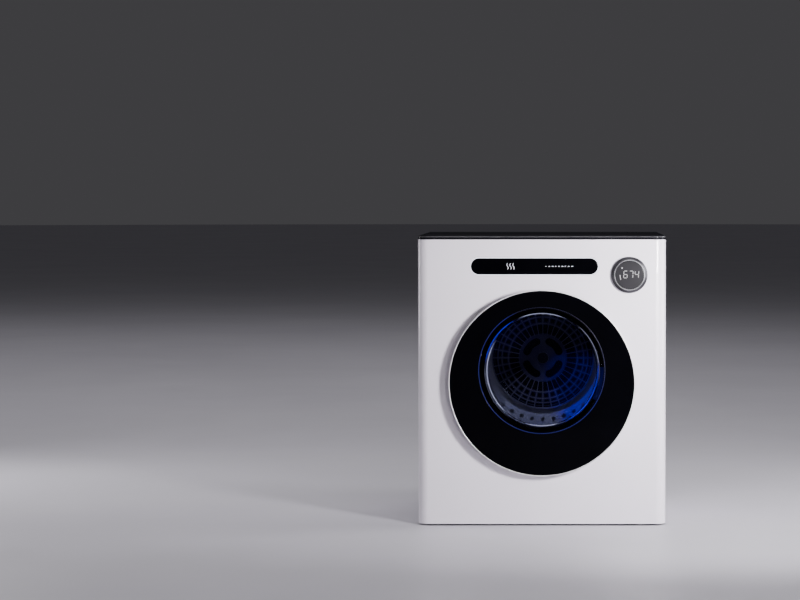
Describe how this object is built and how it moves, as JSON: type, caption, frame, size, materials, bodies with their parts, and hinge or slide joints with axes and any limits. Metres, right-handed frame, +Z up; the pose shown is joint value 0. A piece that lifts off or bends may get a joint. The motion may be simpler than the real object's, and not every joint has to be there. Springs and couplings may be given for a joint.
{
  "type": "clothes dryer",
  "caption": "Compact vented tumble dryer: white cabinet with rounded upright corners, black top, round glass door, lit window, belt-driven drum and turning dial.",
  "frame": {"origin": "on the floor, under the middle of the box round the whole dryer", "axes": "+X right seen from the front, +Y to the back, +Z up; the door faces -Y"},
  "size_m": [0.5, 0.454, 0.585],
  "materials": {
    "white_panel": "satin white enamel",
    "black_top": "polished black",
    "sheet_steel": "galvanised sheet, dull",
    "drum_steel": "brushed stainless",
    "black_glass": "black printed glass, glossy",
    "smoked_glass": "clear, lightly smoked",
    "bowl_glass": "clear moulded glass",
    "rim_metal": "bright polished",
    "dark_plastic": "moulded, fine grain",
    "grey_plastic": "moulded, fine grain",
    "white_plastic": "moulded, fine grain",
    "lifter_plastic": "moulded, smooth",
    "filter_plastic": "moulded, smooth",
    "mesh": "fine woven mesh",
    "felt": "wool felt",
    "rubber": "matt rubber",
    "light_guide": "lit light guide",
    "dial_metal": "turned and bevelled",
    "dial_glass": "dark display glass",
    "steel": "turned steel",
    "cast": "die cast",
    "motor_paint": "motor enamel",
    "board_green": "solder resist",
    "heater_metal": "thin pressed fins",
    "wheel_plastic": "moulded"
  },
  "bodies": {
    "cabinet": {"front_panel": "white_panel", "left_side_panel": "white_panel", "right_side_panel": "white_panel", "rear_panel": "sheet_steel", "top_panel": "black_top", "base_tray": "sheet_steel", "feet": "rubber", "top_rails": "sheet_steel", "front_bulkhead": "sheet_steel", "front_felt_seal": "felt", "drum_glides": "white_plastic", "rear_bulkhead": "sheet_steel", "rear_felt_seals": "felt", "bearing_housing": "cast", "drum_bearing": "steel", "rear_air_duct": "grey_plastic", "heater_duct": "sheet_steel", "heater_element": "heater_metal", "blower_housing": "white_plastic", "exhaust_duct": "white_plastic", "exhaust_collar": "grey_plastic", "motor_body": "motor_paint", "motor_mount": "sheet_steel", "drive_belt": "rubber", "idler_pivot": "sheet_steel", "idler_spring": "steel", "door_gasket": "rubber", "hinge_bracket": "steel", "hinge_pin": "steel", "latch_housing": "dark_plastic", "display_panel": "black_glass", "display_trim": "light_guide", "control_board": "board_green", "dial_bezel": "dark_plastic", "dial_encoder": "dark_plastic", "drum_lamp": "white_plastic", "cord_gland": "dark_plastic", "rear_screws": "steel"},
    "door": {"door_cover": "black_glass", "door_window": "smoked_glass", "door_rim": "rim_metal", "door_frame": "dark_plastic", "door_bowl": "bowl_glass", "window_light_ring": "light_guide", "door_striker": "dark_plastic"},
    "drum": {"drum_shell": "drum_steel", "drum_front_ring": "drum_steel", "drum_rear_wall": "drum_steel", "drum_lifters": "lifter_plastic", "drum_spider": "cast"},
    "filter": {"filter_cover": "filter_plastic", "filter_mesh": "mesh"},
    "motor": {"motor_rotor": "steel", "motor_pulley": "cast", "blower_wheel": "wheel_plastic"},
    "tensioner": {"idler_arm": "sheet_steel"},
    "idler": {"idler_pulley": "dark_plastic"},
    "dial_ring": {"dial_ring": "dial_metal"},
    "dial_button": {"dial_face": "dial_glass"},
    "flap": {"backdraft_flap": "grey_plastic"}
  },
  "joints": [
    {"name": "door_hinge", "type": "hinge", "parent": "cabinet", "child": "door", "pos_m": [-0.178, -0.217, 0.2894], "axis": [0, 0, -1], "range_deg": [0, 105]},
    {"name": "drum_spin", "type": "hinge", "parent": "cabinet", "child": "drum", "pos_m": [0, -0.003, 0.315], "axis": [0, 1, 0], "continuous": true},
    {"name": "filter_pull", "type": "slide", "parent": "drum", "child": "filter", "axis": [0, -1, 0], "range_m": [0, 0.1]},
    {"name": "motor_spin", "type": "hinge", "parent": "cabinet", "child": "motor", "pos_m": [0.165, -0.003, 0.08], "axis": [0, 1, 0], "continuous": true},
    {"name": "tensioner_swing", "type": "hinge", "parent": "cabinet", "child": "tensioner", "pos_m": [0.03606, -0.043, 0.04031], "axis": [0, 1, 0], "range_deg": [0, 10], "stiffness_Nm_per_rad": 2},
    {"name": "idler_spin", "type": "hinge", "parent": "tensioner", "child": "idler", "pos_m": [0.08306, -0.053, 0.06431], "axis": [0, 1, 0], "continuous": true},
    {"name": "dial_turn", "type": "hinge", "parent": "cabinet", "child": "dial_ring", "pos_m": [0.176, -0.209, 0.506], "axis": [0, 1, 0], "continuous": true},
    {"name": "dial_press", "type": "slide", "parent": "cabinet", "child": "dial_button", "axis": [0, 1, 0], "range_m": [0, 0.0012], "stiffness_N_per_m": 900},
    {"name": "flap_swing", "type": "hinge", "parent": "cabinet", "child": "flap", "pos_m": [-0.06, 0.2235, 0.116], "axis": [1, 0, 0], "range_deg": [0, 60]}
  ],
  "couplings": [
    {"joint": "motor_spin", "follows": "drum_spin", "ratio": 21.3},
    {"joint": "idler_spin", "follows": "drum_spin", "ratio": -13.312}
  ]
}
